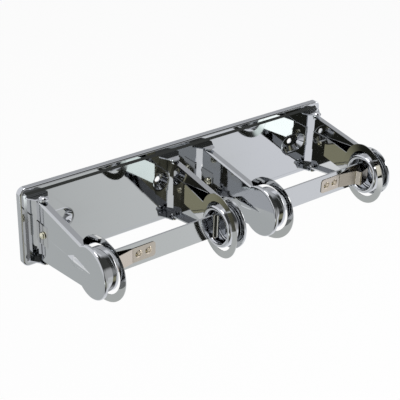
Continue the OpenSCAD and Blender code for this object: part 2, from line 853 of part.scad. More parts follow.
// The rivet that holds the bar's foot to the cup's floor
module foot_rivet() {
    translate([arm_t, -foot_rivet_y, 0])
        rotate([0, 90, 0]) {
            cylinder(h = cup_floor_t + bar_t, r = foot_rivet_r);
            translate([0, 0, cup_floor_t + bar_t])
                dome(foot_rivet_head_r, foot_rivet_head_h);
        }
}

// Puts its child at each latch rivet, looking forward from a depth in front of the wall
module at_latch_rivets(from) {
    for (i = [0, 1])
        translate([latch_start + latch_rivet_set + i * latch_rivet_pitch, -from, 0])
            rotate([90, 0, 0])
                children();
}

// The riveted end of the latch spring, flat on the bar's front
module latch_base() {
    difference() {
        forward(bar_y, latch_t) {
            translate([latch_start + latch_base_len / 2, 0])
                round_rectangle(latch_base_len, latch_h, latch_corner_r);
            translate([latch_start + latch_base_len / 2, -latch_h / 2])
                square([latch_base_len / 2, latch_h]);
        }
        at_latch_rivets(bar_y - overrun)
            cylinder(h = latch_t + 2 * overrun, r = latch_rivet_r + pin_clearance);
    }
}

// The flexing end of the latch spring: it slopes off the bar, turns forward into a hook, and its end leans back
// into the outer cup
module latch_tongue() {
    legs = [
        [latch_tongue_len, -hook_turn, hook_r],
        [hook_leg_len, hook_return_turn, hook_r],
        [hook_end_len, 0, 0]
    ];
    translate([latch_hinge_u, -latch_hinge_y, 0])
        rotate([0, 0, -latch_angle]) {
            about_mid_height(latch_h)
                strip_plan(legs, latch_t, [0, 0], 0);
            cylinder(h = latch_h, r = latch_t / 2, center = true);
        }
}

// The two semi-tubular rivets that hold the latch to the bar
module latch_rivets() {
    grip = bar_t + latch_t;
    at_latch_rivets(bar_back_y)
        difference() {
            union() {
                cylinder(h = grip, r = latch_rivet_r);
                translate([0, 0, grip])
                    dome(latch_rivet_head_r, latch_rivet_head_h);
                mirror([0, 0, 1])
                    dome(latch_rivet_head_r, latch_rivet_head_h);
            }
            translate([0, 0, grip + latch_rivet_head_h * (1 - rivet_dimple_share)])
                cylinder(h = latch_rivet_head_h, r1 = latch_rivet_dimple_r * rivet_dimple_share, r2 = latch_rivet_dimple_r);
        }
}

module left_outer_arm() { color("silver") at_station(LEFT_OUTER) arm(); }
module left_inner_arm() { color("silver") at_station(LEFT_INNER) arm(); }
module right_inner_arm() { color("silver") at_station(RIGHT_INNER) arm(); }
module right_outer_arm() { color("silver") at_station(RIGHT_OUTER) arm(); }

module left_outer_ears() { color("silver") at_station(LEFT_OUTER) above_and_below() ear(); }
module left_inner_ears() { color("silver") at_station(LEFT_INNER) above_and_below() ear(); }
module right_inner_ears() { color("silver") at_station(RIGHT_INNER) above_and_below() ear(); }
module right_outer_ears() { color("silver") at_station(RIGHT_OUTER) above_and_below() ear(); }

module left_outer_hinge_pin() { color("gainsboro") at_station(LEFT_OUTER) hinge_pins(true); }
module left_inner_hinge_pin() { color("gainsboro") at_station(LEFT_INNER) hinge_pins(false); }
module right_inner_hinge_pin() { color("gainsboro") at_station(RIGHT_INNER) hinge_pins(false); }
module right_outer_hinge_pin() { color("gainsboro") at_station(RIGHT_OUTER) hinge_pins(true); }

module left_outer_brake_clip() { color("lightgray") at_station(LEFT_OUTER) brake_clip(); }
module left_inner_brake_clip() { color("lightgray") at_station(LEFT_INNER) brake_clip(); }
module right_inner_brake_clip() { color("lightgray") at_station(RIGHT_INNER) brake_clip(); }
module right_outer_brake_clip() { color("lightgray") at_station(RIGHT_OUTER) brake_clip(); }

module left_outer_brake_ring() { color("lightgray") at_station(LEFT_OUTER) brake_ring(); }
module left_inner_brake_ring() { color("lightgray") at_station(LEFT_INNER) brake_ring(); }
module right_inner_brake_ring() { color("lightgray") at_station(RIGHT_INNER) brake_ring(); }
module right_outer_brake_ring() { color("lightgray") at_station(RIGHT_OUTER) brake_ring(); }

module left_outer_brake_rivet() { color("tan") at_station(LEFT_OUTER) brake_rivet(); }
module left_inner_brake_rivet() { color("tan") at_station(LEFT_INNER) brake_rivet(); }
module right_inner_brake_rivet() { color("tan") at_station(RIGHT_INNER) brake_rivet(); }
module right_outer_brake_rivet() { color("tan") at_station(RIGHT_OUTER) brake_rivet(); }

module left_outer_cup() { color("silver") at_station(LEFT_OUTER) cup(false); }
module left_inner_cup() { color("silver") at_station(LEFT_INNER) cup(true); }
module right_inner_cup() { color("silver") at_station(RIGHT_INNER) cup(true); }
module right_outer_cup() { color("silver") at_station(RIGHT_OUTER) cup(false); }

module left_spindle_bar() { color("silver") at_station(LEFT_INNER) spindle_bar(); }
module right_spindle_bar() { color("silver") at_station(RIGHT_INNER) spindle_bar(); }
module left_foot_rivet() { color("tan") at_station(LEFT_INNER) foot_rivet(); }
module right_foot_rivet() { color("tan") at_station(RIGHT_INNER) foot_rivet(); }
module left_latch_base() { color("antiquewhite") at_station(LEFT_INNER) latch_base(); }
module right_latch_base() { color("antiquewhite") at_station(RIGHT_INNER) latch_base(); }
module left_latch_tongue() { color("antiquewhite") at_station(LEFT_INNER) latch_tongue(); }
module right_latch_tongue() { color("antiquewhite") at_station(RIGHT_INNER) latch_tongue(); }
module left_latch_rivets() { color("tan") at_station(LEFT_INNER) latch_rivets(); }
module right_latch_rivets() { color("tan") at_station(RIGHT_INNER) latch_rivets(); }

back_plate();
left_outer_ears();
left_inner_ears();
right_inner_ears();
right_outer_ears();
left_outer_arm();
left_inner_arm();
right_inner_arm();
right_outer_arm();
left_outer_hinge_pin();
left_inner_hinge_pin();
right_inner_hinge_pin();
right_outer_hinge_pin();
left_outer_brake_clip();
left_inner_brake_clip();
right_inner_brake_clip();
right_outer_brake_clip();
left_outer_brake_ring();
left_inner_brake_ring();
right_inner_brake_ring();
right_outer_brake_ring();
left_outer_brake_rivet();
left_inner_brake_rivet();
right_inner_brake_rivet();
right_outer_brake_rivet();
left_outer_cup();
left_inner_cup();
right_inner_cup();
right_outer_cup();
left_spindle_bar();
right_spindle_bar();
left_foot_rivet();
right_foot_rivet();
left_latch_base();
right_latch_base();
left_latch_tongue();
right_latch_tongue();
left_latch_rivets();
right_latch_rivets();
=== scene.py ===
"""Dresses a double toilet roll holder of chrome-plated pressed steel.

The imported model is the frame. The script gives each of its nodes a finish and smooth bends, adds the rolled
rims of the semi-tubular rivets and the domed heads of the others, and sets a plain studio round them.
"""

import logging
import math
from dataclasses import dataclass, field
from enum import Enum

import bpy
from mathutils import Matrix, Vector

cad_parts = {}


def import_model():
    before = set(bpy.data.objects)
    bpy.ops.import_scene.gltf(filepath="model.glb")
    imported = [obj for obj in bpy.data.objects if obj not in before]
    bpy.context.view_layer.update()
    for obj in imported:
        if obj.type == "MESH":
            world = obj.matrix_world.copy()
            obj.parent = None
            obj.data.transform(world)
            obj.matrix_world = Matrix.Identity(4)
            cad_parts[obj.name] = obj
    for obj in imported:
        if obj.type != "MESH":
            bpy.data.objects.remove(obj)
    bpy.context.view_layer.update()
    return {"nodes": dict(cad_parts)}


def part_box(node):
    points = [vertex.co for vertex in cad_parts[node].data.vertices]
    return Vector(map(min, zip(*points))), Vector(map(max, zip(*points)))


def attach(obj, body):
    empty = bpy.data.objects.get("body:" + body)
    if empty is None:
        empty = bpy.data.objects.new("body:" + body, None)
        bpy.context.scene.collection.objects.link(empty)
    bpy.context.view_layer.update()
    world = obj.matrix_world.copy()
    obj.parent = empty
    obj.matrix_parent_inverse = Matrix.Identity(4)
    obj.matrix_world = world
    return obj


Colour = tuple[float, float, float, float]
Place = tuple[float, float, float]

LOG = logging.getLogger("toilet_roll_holder")
MM = 0.001
WHITE: Colour = (1.0, 1.0, 1.0, 1.0)
# Nearly all values of a noise texture lie between these
NOISE_LOW, NOISE_HIGH = 0.3, 0.7
# The Mix node's sockets for colours: two that it takes and one that it gives
MIX_UNDER, MIX_OVER, MIX_RESULT = 6, 7, 2
# On the ball of radius 1 that a dome is cut from: the height below which its points go, and the z of a normal
# below which a face is the flat base
BALL_CUT = -0.01
BASE_NORMAL = -0.5


def linear(hex_colour: str, alpha: float = 1.0) -> Colour:
    """Turns an sRGB hex colour into a linear one.

    Args:
        hex_colour: Six hex digits, with or without a leading hash sign.
        alpha: The fourth channel.

    Returns:
        Linear red, green and blue, and alpha.
    """
    digits = hex_colour.lstrip("#")
    channels = []
    for start in (0, 2, 4):
        value = int(digits[start:start + 2], 16) / 255
        channels.append(value / 12.92 if value <= 0.04045 else ((value + 0.055) / 1.055) ** 2.4)
    return (*channels, alpha)


def add_node(
    tree: bpy.types.NodeTree, kind: str, settings: dict | None = None, links: dict | None = None
) -> bpy.types.Node:
    """Adds a node with its settings and links.

    Args:
        tree: The node tree that gets the node.
        kind: The node's type name.
        settings: Attribute names, or sockets as input indices or names, with their values.
        links: Input sockets by index or name, with the output sockets that feed them.

    Returns:
        The new node.
    """
    node = tree.nodes.new(kind)
    for key, value in (settings or {}).items():
        if isinstance(key, str) and hasattr(node, key):
            setattr(node, key, value)
        else:
            node.inputs[key].default_value = value
    for key, source in (links or {}).items():
        tree.links.new(source, node.inputs[key])
    return node


def geometry_tree(name: str, sizes: tuple[str, ...]) -> bpy.types.GeometryNodeTree:
    """Starts a Geometry Nodes tree.

    Args:
        name: The tree's name.
        sizes: The names of its inputs beside the geometry.

    Returns:
        The tree, with its inputs and its output but no nodes.
    """
    tree = bpy.data.node_groups.new(name, "GeometryNodeTree")
    tree.interface.new_socket("Geometry", in_out="INPUT", socket_type="NodeSocketGeometry")
    for size in sizes:
        tree.interface.new_socket(size, in_out="INPUT", socket_type="NodeSocketFloat")
    tree.interface.new_socket("Geometry", in_out="OUTPUT", socket_type="NodeSocketGeometry")
    return tree


def add_tree(
    obj: bpy.types.Object, name: str, tree: bpy.types.GeometryNodeTree, sizes: dict[str, float]
) -> None:
    """Puts a Geometry Nodes tree on an object.

    Args:
        obj: The object.
        name: The modifier's name.
        tree: The tree.
        sizes: The values of the tree's inputs, by name.
    """
    modifier = obj.modifiers.new(name, "NODES")
    modifier.node_group = tree
    for socket in tree.interface.items_tree:
        if socket.in_out == "INPUT" and socket.name in sizes:
            modifier[socket.identifier] = sizes[socket.name]


def set_on_points(
    tree: bpy.types.NodeTree, points: bpy.types.NodeSocket, shape: bpy.types.NodeSocket,
    material: bpy.types.Material,
) -> None:
    """Ends a tree: one shape on each point, as plain geometry with its material.

    Args:
        tree: The tree.
        points: The points.
        shape: The shape.
        material: The shape's material.
    """
    set_on = add_node(tree, "GeometryNodeInstanceOnPoints", links={"Points": points, "Instance": shape})
    real = add_node(tree, "GeometryNodeRealizeInstances", links={"Geometry": set_on.outputs["Instances"]})
    finished = add_node(tree, "GeometryNodeSetMaterial", {"Material": material},
                        {"Geometry": real.outputs["Geometry"]})
    add_node(tree, "NodeGroupOutput", links={"Geometry": finished.outputs["Geometry"]})


class Surface(Enum):
    """How a metal's surface was made."""

    BRIGHT = "bright plate over pressed sheet"
    SPRING = "bright plate over rolled spring strip"
    SATIN = "thin nickel over rolled spring strip"
    SET = "nickel over a cold-headed rivet"


@dataclass(frozen=True)
class Crown:
    """The slight cone of a pressed ring, which bulges towards what it presses on.

    Args:
        axis_y_mm: The y of the ring's axis, which runs along X at mid-height.
        inner_mm: The radius at which the cone starts.
        outer_mm: The radius at which it ends.
        slope_deg: The cone's slope.
    """

    axis_y_mm: float
    inner_mm: float
    outer_mm: float
    slope_deg: float

    def height(self, tree: bpy.types.NodeTree, place: bpy.types.NodeSocket) -> bpy.types.NodeSocket:
        """Adds the cone's height over the flat sheet.

        Args:
            tree: The material's tree.
            place: The Object coordinates.

        Returns:
            The height, which falls from 1 at the inner radius to 0 at the outer one.
        """
        flat = add_node(tree, "ShaderNodeVectorMath", {"operation": "MULTIPLY", 1: (0.0, 1.0, 1.0)}, {0: place})
        reach = add_node(tree, "ShaderNodeVectorMath", {"operation": "DISTANCE", 1: (0.0, self.axis_y_mm * MM, 0.0)},
                         {0: flat.outputs["Vector"]})
        return add_node(
            tree, "ShaderNodeMapRange",
            {"From Min": self.inner_mm * MM, "From Max": self.outer_mm * MM, "To Min": 1.0, "To Max": 0.0},
            {"Value": reach.outputs["Value"]},
        ).outputs["Result"]

    def depth_m(self) -> float:
        """Gives the height of the whole cone in metres."""
        return (self.outer_mm - self.inner_mm) * math.tan(math.radians(self.slope_deg)) * MM


@dataclass(frozen=True)
class MetalFinish:
    """A plated metal, from its colour to the depth of its waviness.

    Args:
        name: The material's name.
        surface: How the surface was made.
        colour: The metal's reflection colour as sRGB hex.
        roughness: The middle roughness.
        haze: How far the roughness wanders, up and down.
        haze_mm: The size of a patch of haze in millimetres.
        wave_mm: The length of the sheet's waviness in millimetres.
        wave_depth_mm: The depth of that waviness in millimetres.
        grain_mm: The width of rolling lines in millimetres, or 0 for none.
        grain_stretch: The lines' width as a share of their length.
        grain_depth_mm: The depth of the lines in millimetres.
        grain_strength: How much of that depth shows.
        crown: The slight cone of a ring, or None.
    """

    name: str
    surface: Surface
    colour: str
    roughness: float
    haze: float = 0.01
    haze_mm: float = 18.0
    wave_mm: float = 40.0
    wave_depth_mm: float = 0.0
    grain_mm: float = 0.0
    grain_stretch: float = 0.04
    grain_depth_mm: float = 0.02
    grain_strength: float = 0.15
    crown: Crown | None = None

    def build(self) -> bpy.types.Material:
        """Builds the material.

        Returns:
            A new material on Object coordinates.
        """
        material = bpy.data.materials.new(self.name)
        material.use_nodes = True
        tree = material.node_tree
        tree.nodes.clear()
        place = add_node(tree, "ShaderNodeTexCoord")
        haze = add_node(
            tree, "ShaderNodeTexNoise", {"Scale": 1 / (self.haze_mm * MM), "Detail": 3.0},
            {"Vector": place.outputs["Object"]},
        )
        spread = add_node(
            tree, "ShaderNodeMapRange",
            {"From Min": NOISE_LOW, "From Max": NOISE_HIGH, "To Min": max(self.roughness - self.haze, 0.0),
             "To Max": self.roughness + self.haze},
            {"Value": haze.outputs["Fac"]},
        )
        shader = add_node(
            tree, "ShaderNodeBsdfPrincipled", {"Base Color": linear(self.colour), "Metallic": 1.0},
            {"Roughness": spread.outputs["Result"]},
        )
        bump = self._bump(tree, place.outputs["Object"])
        if bump is not None:
            tree.links.new(bump, shader.inputs["Normal"])
        add_node(tree, "ShaderNodeOutputMaterial", links={"Surface": shader.outputs["BSDF"]})
        material.diffuse_color = linear(self.colour)
        material.metallic = 1.0
        material.roughness = self.roughness
        return material

    def _bump(self, tree: bpy.types.NodeTree, place: bpy.types.NodeSocket) -> bpy.types.NodeSocket | None:
        """Adds the sheet's slow waviness, a ring's crown and rolling lines.

        Args:
            tree: The material's tree.
            place: The Object coordinates.

        Returns:
            The bump's normal, or None where the finish has none of them.
        """
        normal = None
        if self.wave_depth_mm:
            wave = add_node(
                tree, "ShaderNodeTexNoise", {"Scale": 1 / (self.wave_mm * MM), "Detail": 0.0},
                {"Vector": place},
            )
            normal = add_node(
                tree, "ShaderNodeBump", {"Strength": 1.0, "Distance": self.wave_depth_mm * MM},
                {"Height": wave.outputs["Fac"]},
            ).outputs["Normal"]
        if self.crown is not None:
            links = {"Height": self.crown.height(tree, place)}
            if normal is not None:
                links["Normal"] = normal
            normal = add_node(
                tree, "ShaderNodeBump", {"Strength": 1.0, "Distance": self.crown.depth_m()}, links
            ).outputs["Normal"]
        if self.grain_mm:
            stretch = add_node(
                tree, "ShaderNodeMapping", {"Scale": (self.grain_stretch, 1.0, 1.0)}, {"Vector": place}
            )
            lines = add_node(
                tree, "ShaderNodeTexNoise", {"Scale": 1 / (self.grain_mm * MM), "Detail": 2.0},
                {"Vector": stretch.outputs["Vector"]},
            )
            links = {"Height": lines.outputs["Fac"]}
            if normal is not None:
                links["Normal"] = normal
            normal = add_node(
                tree, "ShaderNodeBump",
                {"Strength": self.grain_strength, "Distance": self.grain_depth_mm * MM}, links,
            ).outputs["Normal"]
        return normal


# Chromium over nickel on pressed steel: a mirror with a cool cast that shows the sheet's slow waves
PLATE_CHROME = MetalFinish(
    "chrome_on_pressed_plate", Surface.BRIGHT, "C6C8CB", 0.045, haze=0.015, wave_mm=60, wave_depth_mm=0.02
)
ARM_CHROME = MetalFinish(
    "chrome_on_pressed_arm", Surface.BRIGHT, "C4C6C8", 0.05, haze=0.015, wave_mm=45, wave_depth_mm=0.015
)
CUP_CHROME = MetalFinish("chrome_on_drawn_cup", Surface.BRIGHT, "C8CACD", 0.04)
BAR_CHROME = MetalFinish(
    "chrome_on_flat_bar", Surface.BRIGHT, "C6C8CA", 0.08, haze=0.02, wave_mm=70, wave_depth_mm=0.02
)
PIN_CHROME = MetalFinish("chrome_on_headed_pin", Surface.BRIGHT, "C2C3C6", 0.08)
# Plated spring strip: the same mirror, a little duller and warmer
SPRING_CHROME = MetalFinish(
    "chrome_on_spring_strip", Surface.SPRING, "C3C4C4", 0.07, haze=0.02, wave_mm=30, wave_depth_mm=0.015
)
RING_CHROME = MetalFinish(
    "chrome_on_ring_spring", Surface.SPRING, "C8C9C8", 0.06, haze=0.02, wave_mm=30, wave_depth_mm=0.01,
    crown=Crown(axis_y_mm=-87.5, inner_mm=20.3, outer_mm=26.5, slope_deg=4.0),
)
# Thin nickel on strip and rivets: warmer and softer than chromium, so it reads beige beside it
LATCH_NICKEL = MetalFinish("nickel_on_latch_strip", Surface.SATIN, "C8BFB4", 0.26, haze=0.05, grain_mm=0.4)
RIVET_NICKEL = MetalFinish("nickel_on_set_rivet", Surface.SET, "DDD0BC", 0.17, haze=0.04, haze_mm=3.0)
DOME_NICKEL = MetalFinish("nickel_on_domed_rivet", Surface.SET, "DDDAC6", 0.2, haze=0.03, haze_mm=3.0)

NODE_FINISHES: dict[str, MetalFinish] = {
    "back_plate": PLATE_CHROME,
    "ears": PLATE_CHROME,
    "arm": ARM_CHROME,
    "hinge_pin": PIN_CHROME,
    "brake_clip": SPRING_CHROME,
    "brake_ring": RING_CHROME,
    "brake_rivet": DOME_NICKEL,
    "cup": CUP_CHROME,
    "spindle_bar": BAR_CHROME,
    "foot_rivet": RIVET_NICKEL,
    "latch_base": LATCH_NICKEL,
    "latch_tongue": LATCH_NICKEL,
    "latch_rivets": RIVET_NICKEL,
}


@dataclass
class Finishes:
    """Builds each finish once and hands it out.

    Args:
        made: The materials built so far, by finish.
    """

    made: dict[str, bpy.types.Material] = field(default_factory=dict)

    def of(self, finish: MetalFinish) -> bpy.types.Material:
        """Gives a finish's material.

        Args:
            finish: The finish.

        Returns:
            Its material.
        """
        if finish.name not in self.made:
            self.made[finish.name] = finish.build()
        return self.made[finish.name]

    def dress(self, nodes: dict[str, bpy.types.Object]) -> None:
        """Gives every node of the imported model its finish.

        Args:
            nodes: The model's objects by name.
        """
        for name, obj in nodes.items():
            kind = next(key for key in NODE_FINISHES if name.endswith(key))
            finish = NODE_FINISHES[kind]
            obj.data.materials.clear()
            obj.data.materials.append(self.of(finish))
            LOG.info("node %s: %s, %s", name, finish.name, finish.surface.value)


@dataclass
class SmoothBends:
    """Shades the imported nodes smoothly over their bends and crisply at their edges.

    The sheet's flat faces keep their own direction, because the normals are weighted by the size of a face, so
    a mirror stays flat right up to a bend.

    Args:
        crisp_deg: The angle between faces above which an edge stays crisp.
        join_mm: The distance within which loose corners are one.
        flat_weight: How strongly a large face keeps its own direction, where 50 is even.
    """

    crisp_deg: float = 32.0
    join_mm: float = 0.002
    flat_weight: int = 60

    def tree(self) -> bpy.types.GeometryNodeTree:
        """Builds the tree that joins loose corners and marks the crisp edges.

        Returns:
            The node tree, with inputs for the angle and the distance.
        """
        tree = geometry_tree("smooth_bends", ("Crisp angle", "Join distance"))
        given = add_node(tree, "NodeGroupInput").outputs
        joined = add_node(tree, "GeometryNodeMergeByDistance",
                          links={"Geometry": given["Geometry"], "Distance": given["Join distance"]})
        faces = add_node(tree, "GeometryNodeSetShadeSmooth", {"domain": "FACE", "Shade Smooth": True},
                         {"Geometry": joined.outputs["Geometry"]})
        angle = add_node(tree, "GeometryNodeInputMeshEdgeAngle")
        crisp = add_node(tree, "FunctionNodeCompare", {"data_type": "FLOAT", "operation": "LESS_THAN"},
                         {"A": angle.outputs["Unsigned Angle"], "B": given["Crisp angle"]})
        edges = add_node(tree, "GeometryNodeSetShadeSmooth", {"domain": "EDGE"},
                         {"Geometry": faces.outputs["Geometry"], "Shade Smooth": crisp.outputs["Result"]})
        add_node(tree, "NodeGroupOutput", links={"Geometry": edges.outputs["Geometry"]})
        return tree

    def shade(self, nodes: dict[str, bpy.types.Object]) -> None:
        """Puts the shading on every node as modifiers, which leave its mesh as it was packed.

        Args:
            nodes: The model's objects by name.
        """
        tree = self.tree()
        sizes = {"Crisp angle": math.radians(self.crisp_deg), "Join distance": self.join_mm * MM}
        for obj in nodes.values():
            add_tree(obj, "smooth_bends", tree, sizes)
            level = obj.modifiers.new("flat_faces", "WEIGHTED_NORMAL")
            level.mode = "FACE_AREA_WITH_ANGLE"
            level.keep_sharp = True
            level.weight = self.flat_weight


@dataclass
class RivetRims:
    """The rolled rims of the two semi-tubular rivets on each latch, one ring to a rivet.

    Args:
        side: "left" or "right".
        rim_radius_mm: From a rivet's axis to the middle of its rim.
        roll_radius_mm: The radius of the roll itself.
        sunk_mm: How far the middle of the roll lies behind the head's front.
        rim_corners: The number of corners round the rim.
        roll_corners: The number of corners round the roll.
    """

    side: str
    rim_radius_mm: float = 1.75
    roll_radius_mm: float = 0.32
    sunk_mm: float = 0.3
    rim_corners: int = 40
    roll_corners: int = 12

    def tree(self, material: bpy.types.Material) -> bpy.types.GeometryNodeTree:
        """Builds the tree that sets a rolled ring on each point.

        Args:
            material: The rivets' finish.

        Returns:
            The node tree, with inputs for both radii.
        """
        tree = geometry_tree(f"{self.side}_rivet_rims", ("Rim radius", "Roll radius"))
        given = add_node(tree, "NodeGroupInput")
        rim = add_node(tree, "GeometryNodeCurvePrimitiveCircle", {"Resolution": self.rim_corners},
                       {"Radius": given.outputs["Rim radius"]})
        roll = add_node(tree, "GeometryNodeCurvePrimitiveCircle", {"Resolution": self.roll_corners},
                        {"Radius": given.outputs["Roll radius"]})
        ring = add_node(tree, "GeometryNodeCurveToMesh",
                        links={"Curve": rim.outputs["Curve"], "Profile Curve": roll.outputs["Curve"]})
        stood = add_node(tree, "GeometryNodeTransform", {"Rotation": (math.radians(90), 0.0, 0.0)},
                         {"Geometry": ring.outputs["Mesh"]})
        smooth = add_node(tree, "GeometryNodeSetShadeSmooth", links={"Geometry": stood.outputs["Geometry"]})
        set_on_points(tree, given.outputs["Geometry"], smooth.outputs["Geometry"], material)
        return tree

    def places(self) -> list[Vector]:
        """Finds the middles of the two rivets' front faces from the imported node.

        Returns:
            The two places.
        """
        low, high = (Vector(corner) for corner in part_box(f"{self.side}_latch_rivets"))
        radius = (high.z - low.z) / 2
        middle_z = (low.z + high.z) / 2
        front = low.y + self.sunk_mm * MM
        return [Vector((low.x + radius, front, middle_z)), Vector((high.x - radius, front, middle_z))]

    def build(self, finishes: Finishes) -> bpy.types.Object:
        """Builds the rims as one plain mesh on the wall frame.

        Args:
            finishes: The shared finishes.

        Returns:
            The finished piece.
        """
        holder = points_object(f"{self.side}_rivet_points", self.places())
        add_tree(holder, "rims", self.tree(finishes.of(RIVET_NICKEL)),
                 {"Rim radius": self.rim_radius_mm * MM, "Roll radius": self.roll_radius_mm * MM})
        piece = settle(holder, f"{self.side}_latch_rivet_rims")
        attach(piece, "wall_frame")
        return piece


@dataclass
class RivetDome:
    """The domed head of a brake spring's rivet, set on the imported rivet's flat one.

    Args:
        arm: The arm that the rivet goes through, such as "left_outer".
        outwards: The sign of the X direction that the head faces.
        body: The body that the arm belongs to.
        base_radius_mm: The radius of the dome's base.
        height_mm: How far it stands out of its base.
        sunk_mm: How far its base lies under the flat head's top.
        rings: The number of rings from the base to the top.
        sides: The number of corners of a ring.
    """

    arm: str
    outwards: int
    body: str
    base_radius_mm: float = 3.0
    height_mm: float = 1.7
    sunk_mm: float = 0.2
    rings: int = 8
    sides: int = 36

    def tree(self, material: bpy.types.Material) -> bpy.types.GeometryNodeTree:
        """Builds the tree that sets a dome on each point: the upper half of a flattened ball.

        Args:
            material: The rivets' finish.

        Returns:
            The node tree, with inputs for the base's radius and the height.
        """
        tree = geometry_tree(f"{self.arm}_rivet_dome", ("Base radius", "Height"))
        given = add_node(tree, "NodeGroupInput").outputs
        ball = add_node(tree, "GeometryNodeMeshUVSphere",
                        {"Segments": self.sides, "Rings": 2 * self.rings, "Radius": 1.0})
        place = add_node(tree, "GeometryNodeInputPosition").outputs["Position"]
        height = add_node(tree, "ShaderNodeSeparateXYZ", links={"Vector": place}).outputs["Z"]
        under = add_node(tree, "FunctionNodeCompare",
                         {"data_type": "FLOAT", "operation": "LESS_THAN", "B": BALL_CUT}, {"A": height})
        half = add_node(tree, "GeometryNodeDeleteGeometry", {"domain": "POINT"},
                        {"Geometry": ball.outputs["Mesh"], "Selection": under.outputs["Result"]})
        closed = add_node(tree, "GeometryNodeConvexHull", links={"Geometry": half.outputs["Geometry"]})
        way = add_node(tree, "GeometryNodeInputNormal").outputs["Normal"]
        upward = add_node(tree, "ShaderNodeSeparateXYZ", links={"Vector": way}).outputs["Z"]
        domed = add_node(tree, "FunctionNodeCompare",
                         {"data_type": "FLOAT", "operation": "GREATER_THAN", "B": BASE_NORMAL}, {"A": upward})
        flat_base = add_node(tree, "GeometryNodeSetShadeSmooth", {"domain": "FACE"},
                             {"Geometry": closed.outputs["Convex Hull"], "Shade Smooth": domed.outputs["Result"]})
        size = add_node(tree, "ShaderNodeCombineXYZ",
                        links={"X": given["Base radius"], "Y": given["Base radius"], "Z": given["Height"]})
        stood = add_node(tree, "GeometryNodeTransform",
                         {"Rotation": (0.0, self.outwards * math.radians(90), 0.0)},
                         {"Geometry": flat_base.outputs["Geometry"], "Scale": size.outputs["Vector"]})
        set_on_points(tree, given["Geometry"], stood.outputs["Geometry"], material)
        return tree

    def place(self) -> Vector:
        """Finds the middle of the dome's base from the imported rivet.

        Returns:
            The place.
        """
        low, high = (Vector(corner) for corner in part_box(f"{self.arm}_brake_rivet"))
        base = (low + high) / 2
        base.x = (high.x if self.outwards > 0 else low.x) - self.outwards * self.sunk_mm * MM
        return base

    def build(self, finishes: Finishes) -> bpy.types.Object:
        """Builds the dome on the arm's body.

        Args:
            finishes: The shared finishes.

        Returns:
            The finished piece.
        """
        holder = points_object(f"{self.arm}_rivet_point", [self.place()])
        add_tree(holder, "dome", self.tree(finishes.of(DOME_NICKEL)),
                 {"Base radius": self.base_radius_mm * MM, "Height": self.height_mm * MM})
        piece = settle(holder, f"{self.arm}_brake_rivet_dome")
        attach(piece, self.body)
        return piece


def link_in(name: str, data: bpy.types.ID) -> bpy.types.Object:
    """Adds an object to the scene.

    Args:
        name: Its name.
        data: Its mesh, lamp or camera.

    Returns:
        The object.
    """
    obj = bpy.data.objects.new(name, data)
    bpy.context.scene.collection.objects.link(obj)
    return obj


def points_object(name: str, places: list[Vector]) -> bpy.types.Object:
    """Adds an object of loose points to the scene.

    Args:
        name: Its name.
        places: Where its points lie.

    Returns:
        The object.
    """
    mesh = bpy.data.meshes.new(name)
    mesh.from_pydata([tuple(place) for place in places], [], [])
    return link_in(name, mesh)


def settle(holder: bpy.types.Object, name: str) -> bpy.types.Object:
    """Turns an object and its modifiers into a plain mesh of its own.

    Args:
        holder: The object with its modifiers, which is removed.
        name: The new piece's name.

    Returns:
        The plain piece.
    """
    graph = bpy.context.evaluated_depsgraph_get()
    plain = bpy.data.meshes.new_from_object(holder.evaluated_get(graph))
    holder.modifiers.clear()
    bpy.data.objects.remove(holder)
    plain.name = name
    return link_in(name, plain)


@dataclass(frozen=True)
class Lobe:
    """A part of the studio with a look of its own, as a direction seen from the holder.

    Args:
        name: What it is.
        towards: The direction of its middle.
        ends_deg: The angle from the middle at which it ends.
        full_deg: The angle within which it is full.
        colour: What it shows, as sRGB hex.
        strength: How many times brighter than its colour it is.
    """

    name: str
    towards: Place
    ends_deg: float
    full_deg: float
    colour: str
    strength: float = 1.0


@dataclass(frozen=True)
class Lamp:
    """A square soft lamp.

    Args:
        name: Its name.
        at: Where it hangs.
        size_m: The length of its sides.
        watts: Its power.
    """

    name: str
    at: Place
    size_m: float
    watts: float

    def hang(self, aim_at: Place) -> None:
        """Hangs the lamp.

        Args:
            aim_at: What it faces.
        """
        data = bpy.data.lights.new(self.name, "AREA")
        data.size = self.size_m
        data.energy = self.watts
        obj = link_in(self.name, data)
        obj.location = self.at
        obj.rotation_euler = (Vector(aim_at) - Vector(self.at)).to_track_quat("-Z", "Y").to_euler()


